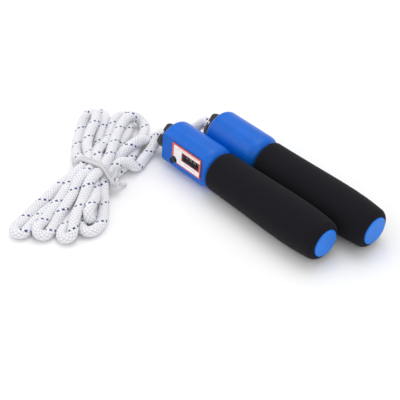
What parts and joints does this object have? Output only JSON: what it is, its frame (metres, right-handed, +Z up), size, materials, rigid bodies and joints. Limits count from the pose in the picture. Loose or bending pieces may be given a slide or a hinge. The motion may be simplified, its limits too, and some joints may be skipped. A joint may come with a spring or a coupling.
{
  "type": "jump rope",
  "caption": "Braided jump rope hanked and tied, on two foam-gripped handles with swivelling forks, one with a geared turn counter, window and reset button.",
  "frame": {"origin": "on the table, under the middle of the box that holds the two handles, which lie side by side", "axes": "+X along the handles towards their end caps, +Z up from the table; the counter faces -Y and the rope leaves the handles towards -X"},
  "size_m": [0.2629, 0.2026, 0.0333],
  "materials": {
    "blue_plastic": "satin blue moulding",
    "cap_plastic": "satin lighter blue moulding",
    "black_plastic": "satin black moulding",
    "black_foam": "closed-cell foam, matte black",
    "grey_plastic": "plain grey moulding, inside",
    "white_nylon": "natural nylon gear",
    "digit_drum": "black drum with white figures",
    "zinc_steel": "zinc-plated wire and rod",
    "label_print": "white printed plate with an orange-red edge",
    "window_pane": "clear pane",
    "braided_rope": "white braid with navy tracer yarns",
    "tie_cord": "thin white tie cord"
  },
  "bodies": {
    "handles_and_rope": {"front_head_shell": "blue_plastic", "rear_head_shell": "blue_plastic", "front_bearing_cover": "blue_plastic", "rear_bearing_cover": "blue_plastic", "front_core_tube": "grey_plastic", "rear_core_tube": "grey_plastic", "front_foam_grip": "black_foam", "rear_foam_grip": "black_foam", "front_end_cap": "cap_plastic", "rear_end_cap": "cap_plastic", "front_counter_label": "label_print", "front_counter_window": "window_pane", "front_transfer_shaft": "zinc_steel", "front_counter_frame": "grey_plastic", "rope_hank": "braided_rope", "rope_lead_front": "braided_rope", "rope_lead_rear": "braided_rope", "hank_tie": "tie_cord"},
    "front_swivel_group": {"front_swivel": "black_plastic", "front_retaining_clip": "zinc_steel", "front_drive_pinion": "white_nylon"},
    "compound_gear": {"front_compound_gear": "white_nylon"},
    "count_shaft": {"front_count_gear": "white_nylon", "front_units_wheel": "digit_drum"},
    "tens_wheel": {"front_tens_wheel": "digit_drum"},
    "hundreds_wheel": {"front_hundreds_wheel": "digit_drum"},
    "thousands_wheel": {"front_thousands_wheel": "digit_drum"},
    "tens_pinion": {"front_tens_pinion": "white_nylon"},
    "hundreds_pinion": {"front_hundreds_pinion": "white_nylon"},
    "thousands_pinion": {"front_thousands_pinion": "white_nylon"},
    "reset_button": {"front_reset_button": "black_plastic"},
    "rear_swivel_group": {"rear_swivel": "black_plastic", "rear_retaining_clip": "zinc_steel"}
  },
  "joints": [
    {"name": "front_swivel_spin", "type": "hinge", "parent": "handles_and_rope", "child": "front_swivel_group", "pos_m": [-0.08, -0.017, 0.0166], "axis": [1, 0, 0], "continuous": true},
    {"name": "rear_swivel_spin", "type": "hinge", "parent": "handles_and_rope", "child": "rear_swivel_group", "pos_m": [-0.0654, 0.017, 0.0166], "axis": [1, 0, 0], "continuous": true},
    {"name": "compound_gear_spin", "type": "hinge", "parent": "handles_and_rope", "child": "compound_gear", "pos_m": [-0.0675, -0.01144, 0.02086], "axis": [1, 0, 0], "continuous": true},
    {"name": "count_shaft_spin", "type": "hinge", "parent": "handles_and_rope", "child": "count_shaft", "pos_m": [-0.055, -0.01933, 0.01954], "axis": [1, 0, 0], "continuous": true},
    {"name": "tens_wheel_spin", "type": "hinge", "parent": "handles_and_rope", "child": "tens_wheel", "pos_m": [-0.0448, -0.01933, 0.01954], "axis": [1, 0, 0], "continuous": true},
    {"name": "hundreds_wheel_spin", "type": "hinge", "parent": "handles_and_rope", "child": "hundreds_wheel", "pos_m": [-0.049, -0.01933, 0.01954], "axis": [1, 0, 0], "continuous": true},
    {"name": "thousands_wheel_spin", "type": "hinge", "parent": "handles_and_rope", "child": "thousands_wheel", "pos_m": [-0.0532, -0.01933, 0.01954], "axis": [1, 0, 0], "continuous": true},
    {"name": "tens_pinion_spin", "type": "hinge", "parent": "handles_and_rope", "child": "tens_pinion", "pos_m": [-0.0427, -0.01312, 0.01388], "axis": [1, 0, 0], "continuous": true},
    {"name": "hundreds_pinion_spin", "type": "hinge", "parent": "handles_and_rope", "child": "hundreds_pinion", "pos_m": [-0.0469, -0.01312, 0.01388], "axis": [1, 0, 0], "continuous": true},
    {"name": "thousands_pinion_spin", "type": "hinge", "parent": "handles_and_rope", "child": "thousands_pinion", "pos_m": [-0.0511, -0.01312, 0.01388], "axis": [1, 0, 0], "continuous": true},
    {"name": "reset_button_press", "type": "slide", "parent": "handles_and_rope", "child": "reset_button", "axis": [0, 0.9954, -0.0958], "range_m": [0, 0.0015], "stiffness_N_per_m": 400}
  ],
  "couplings": [
    {"joint": "compound_gear_spin", "follows": "front_swivel_spin", "ratio": -0.4},
    {"joint": "count_shaft_spin", "follows": "front_swivel_spin", "ratio": 0.1},
    {"joint": "tens_wheel_spin", "follows": "front_swivel_spin", "ratio": 0.01},
    {"joint": "hundreds_wheel_spin", "follows": "front_swivel_spin", "ratio": 0.001},
    {"joint": "thousands_wheel_spin", "follows": "front_swivel_spin", "ratio": 0.0001},
    {"joint": "tens_pinion_spin", "follows": "front_swivel_spin", "ratio": -0.025},
    {"joint": "hundreds_pinion_spin", "follows": "front_swivel_spin", "ratio": -0.0025},
    {"joint": "thousands_pinion_spin", "follows": "front_swivel_spin", "ratio": -0.00025}
  ]
}
